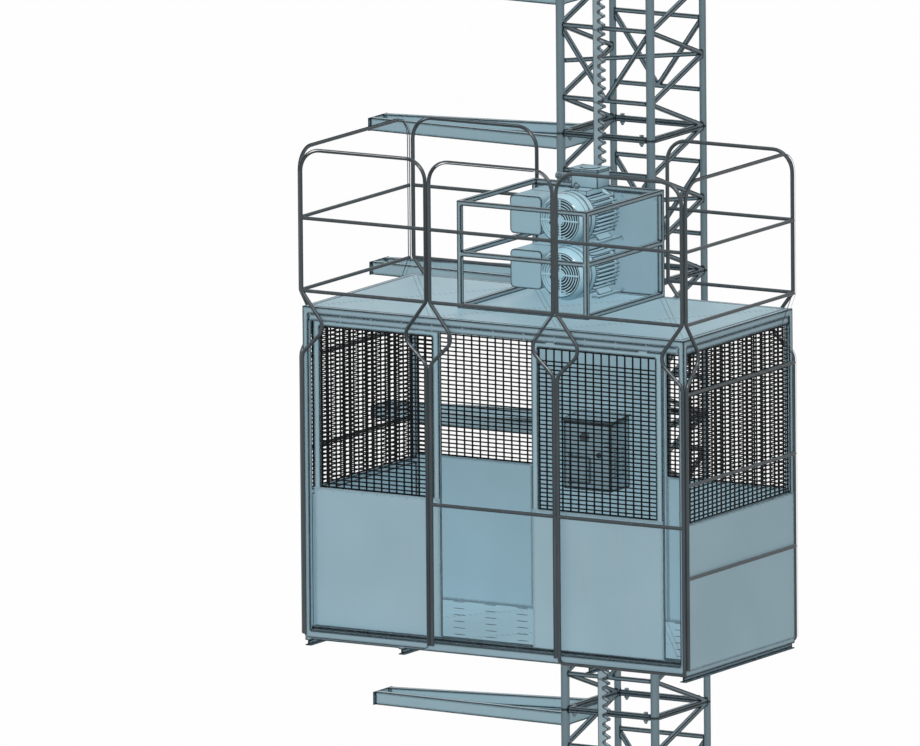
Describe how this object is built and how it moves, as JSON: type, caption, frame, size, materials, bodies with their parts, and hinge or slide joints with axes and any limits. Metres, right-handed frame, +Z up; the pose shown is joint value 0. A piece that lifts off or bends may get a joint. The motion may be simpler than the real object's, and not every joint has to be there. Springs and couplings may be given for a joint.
{
  "type": "material hoist",
  "caption": "Rack and pinion material hoist: a meshed cage with sliding door leaves and bent-tube guard loops, driven by finned motors up a tied lattice mast.",
  "frame": {"origin": "centre of the mast at its foot, in the plane of the foot bolts", "axes": "+Z up the mast, +X along the length of the cage, -Y from the mast towards the cage and its doors"},
  "size_m": [3.583, 2.4961, 6],
  "materials": {
    "mast_paint": "satin paint over welded steel",
    "rack_steel": "machined steel",
    "frame_paint": "satin paint",
    "sheet_paint": "satin paint on sheet",
    "roof_paint": "satin paint on sheet",
    "tube_paint": "satin paint on bent tube",
    "mesh_paint": "satin paint on welded wire",
    "bolt_steel": "zinc",
    "drive_paint": "satin paint on castings",
    "cowl_paint": "gloss paint on pressed sheet",
    "fan_plastic": "moulded",
    "roller_steel": "turned steel",
    "cabinet_paint": "powder coat",
    "knob_plastic": "moulded"
  },
  "bodies": {
    "mast": {"mast_section_1": "mast_paint", "mast_section_2": "mast_paint", "mast_section_3": "mast_paint", "mast_section_4": "mast_paint", "mast_section_5": "mast_paint", "mast_section_6": "mast_paint", "rack_bars": "rack_steel", "mast_joint_bolts": "bolt_steel", "tie_arms": "mast_paint"},
    "cage": {"cage_frame": "frame_paint", "floor_plate": "sheet_paint", "roof_plate": "roof_paint", "front_loop_left": "tube_paint", "front_loop_middle": "tube_paint", "front_loop_right": "tube_paint", "rear_loop_left": "tube_paint", "rear_loop_right": "tube_paint", "end_loop_left": "tube_paint", "end_loop_right": "tube_paint", "left_end_sheet": "sheet_paint", "left_end_mesh": "mesh_paint", "right_end_sheet": "sheet_paint", "right_end_mesh": "mesh_paint", "rear_sheets": "sheet_paint", "rear_meshes": "mesh_paint", "rear_centre_panel": "sheet_paint", "top_door_track": "frame_paint", "door_sill": "frame_paint", "mast_guide_frame": "frame_paint", "drive_guard": "tube_paint", "drive_plate": "frame_paint", "motor_body_lower": "drive_paint", "motor_body_upper": "drive_paint", "fan_cowl_lower": "cowl_paint", "fan_cowl_upper": "cowl_paint", "gear_case_lower": "drive_paint", "gear_case_upper": "drive_paint", "terminal_box": "cowl_paint", "terminal_box_lid": "cowl_paint", "control_cabinet": "cabinet_paint"},
    "front_roller_left_lower": {"front_roller_left_lower": "roller_steel"},
    "front_roller_left_upper": {"front_roller_left_upper": "roller_steel"},
    "front_roller_right_lower": {"front_roller_right_lower": "roller_steel"},
    "front_roller_right_upper": {"front_roller_right_upper": "roller_steel"},
    "outer_roller_left_lower": {"outer_roller_left_lower": "roller_steel"},
    "outer_roller_left_upper": {"outer_roller_left_upper": "roller_steel"},
    "outer_roller_right_lower": {"outer_roller_right_lower": "roller_steel"},
    "outer_roller_right_upper": {"outer_roller_right_upper": "roller_steel"},
    "drive_pinion_lower": {"drive_pinion_lower": "rack_steel"},
    "drive_pinion_upper": {"drive_pinion_upper": "rack_steel"},
    "motor_fan_lower": {"motor_fan_lower": "fan_plastic"},
    "motor_fan_upper": {"motor_fan_upper": "fan_plastic"},
    "left_door": {"door_leaf_left": "sheet_paint", "door_mesh_left": "mesh_paint"},
    "right_door": {"door_leaf_right": "sheet_paint", "door_mesh_right": "mesh_paint"},
    "cabinet_door": {"cabinet_door": "cabinet_paint"},
    "stop_button": {"stop_button": "knob_plastic"},
    "selector_knob": {"selector_knob": "knob_plastic"}
  },
  "joints": [
    {"name": "cage_travel", "type": "slide", "parent": "mast", "child": "cage", "axis": [0, 0, 1], "range_m": [-1.5, 1.1]},
    {"name": "pinion_lower_turn", "type": "hinge", "parent": "cage", "child": "drive_pinion_lower", "pos_m": [0.1125, -0.42, 4.178], "axis": [0, -1, 0], "range_deg": [-880, 650]},
    {"name": "fan_lower_turn", "type": "hinge", "parent": "cage", "child": "motor_fan_lower", "pos_m": [0.1125, -1.085, 4.178], "axis": [0, -1, 0], "range_deg": [-12970, 9520]},
    {"name": "pinion_upper_turn", "type": "hinge", "parent": "cage", "child": "drive_pinion_upper", "pos_m": [0.1125, -0.42, 4.553], "axis": [0, -1, 0], "range_deg": [-880, 650]},
    {"name": "fan_upper_turn", "type": "hinge", "parent": "cage", "child": "motor_fan_upper", "pos_m": [0.1125, -1.085, 4.553], "axis": [0, -1, 0], "range_deg": [-12970, 9520]},
    {"name": "front_roller_left_lower_turn", "type": "hinge", "parent": "cage", "child": "front_roller_left_lower", "pos_m": [-0.355, -0.43, 2], "axis": [-1, 0, 0], "range_deg": [-1940, 1430]},
    {"name": "outer_roller_left_lower_turn", "type": "hinge", "parent": "cage", "child": "outer_roller_left_lower", "pos_m": [-0.43, -0.355, 2.16], "axis": [0, 1, 0], "range_deg": [-1940, 1430]},
    {"name": "front_roller_left_upper_turn", "type": "hinge", "parent": "cage", "child": "front_roller_left_upper", "pos_m": [-0.355, -0.43, 4.58], "axis": [-1, 0, 0], "range_deg": [-1940, 1430]},
    {"name": "outer_roller_left_upper_turn", "type": "hinge", "parent": "cage", "child": "outer_roller_left_upper", "pos_m": [-0.43, -0.355, 4.42], "axis": [0, 1, 0], "range_deg": [-1940, 1430]},
    {"name": "front_roller_right_lower_turn", "type": "hinge", "parent": "cage", "child": "front_roller_right_lower", "pos_m": [0.355, -0.43, 2], "axis": [-1, 0, 0], "range_deg": [-1940, 1430]},
    {"name": "outer_roller_right_lower_turn", "type": "hinge", "parent": "cage", "child": "outer_roller_right_lower", "pos_m": [0.43, -0.355, 2.16], "axis": [0, -1, 0], "range_deg": [-1940, 1430]},
    {"name": "front_roller_right_upper_turn", "type": "hinge", "parent": "cage", "child": "front_roller_right_upper", "pos_m": [0.355, -0.43, 4.58], "axis": [-1, 0, 0], "range_deg": [-1940, 1430]},
    {"name": "outer_roller_right_upper_turn", "type": "hinge", "parent": "cage", "child": "outer_roller_right_upper", "pos_m": [0.43, -0.355, 4.42], "axis": [0, -1, 0], "range_deg": [-1940, 1430]},
    {"name": "left_door_slide", "type": "slide", "parent": "cage", "child": "left_door", "axis": [1, 0, 0], "range_m": [0, 1.89]},
    {"name": "right_door_slide", "type": "slide", "parent": "cage", "child": "right_door", "axis": [1, 0, 0], "range_m": [-1.74, 0.12]},
    {"name": "cabinet_door_hinge", "type": "hinge", "parent": "cage", "child": "cabinet_door", "pos_m": [0.019, -0.9053, 2.79], "axis": [0, 0, -1], "range_deg": [0, 110]},
    {"name": "stop_button_push", "type": "slide", "parent": "cage", "child": "stop_button", "axis": [0, 1, 0], "range_m": [0, 0.006], "stiffness_N_per_m": 1000},
    {"name": "selector_turn", "type": "hinge", "parent": "cage", "child": "selector_knob", "pos_m": [0.25, -0.9, 2.9], "axis": [0, 1, 0], "range_deg": [-45, 45]}
  ],
  "couplings": [
    {"joint": "pinion_lower_turn", "follows": "cage_travel", "rad_per_m": 10.053},
    {"joint": "fan_lower_turn", "follows": "cage_travel", "rad_per_m": 150.8},
    {"joint": "pinion_upper_turn", "follows": "cage_travel", "rad_per_m": 10.053},
    {"joint": "fan_upper_turn", "follows": "cage_travel", "rad_per_m": 150.8},
    {"joint": "front_roller_left_lower_turn", "follows": "cage_travel", "rad_per_m": 22.447},
    {"joint": "outer_roller_left_lower_turn", "follows": "cage_travel", "rad_per_m": 22.447},
    {"joint": "front_roller_left_upper_turn", "follows": "cage_travel", "rad_per_m": 22.447},
    {"joint": "outer_roller_left_upper_turn", "follows": "cage_travel", "rad_per_m": 22.447},
    {"joint": "front_roller_right_lower_turn", "follows": "cage_travel", "rad_per_m": 22.447},
    {"joint": "outer_roller_right_lower_turn", "follows": "cage_travel", "rad_per_m": 22.447},
    {"joint": "front_roller_right_upper_turn", "follows": "cage_travel", "rad_per_m": 22.447},
    {"joint": "outer_roller_right_upper_turn", "follows": "cage_travel", "rad_per_m": 22.447}
  ]
}
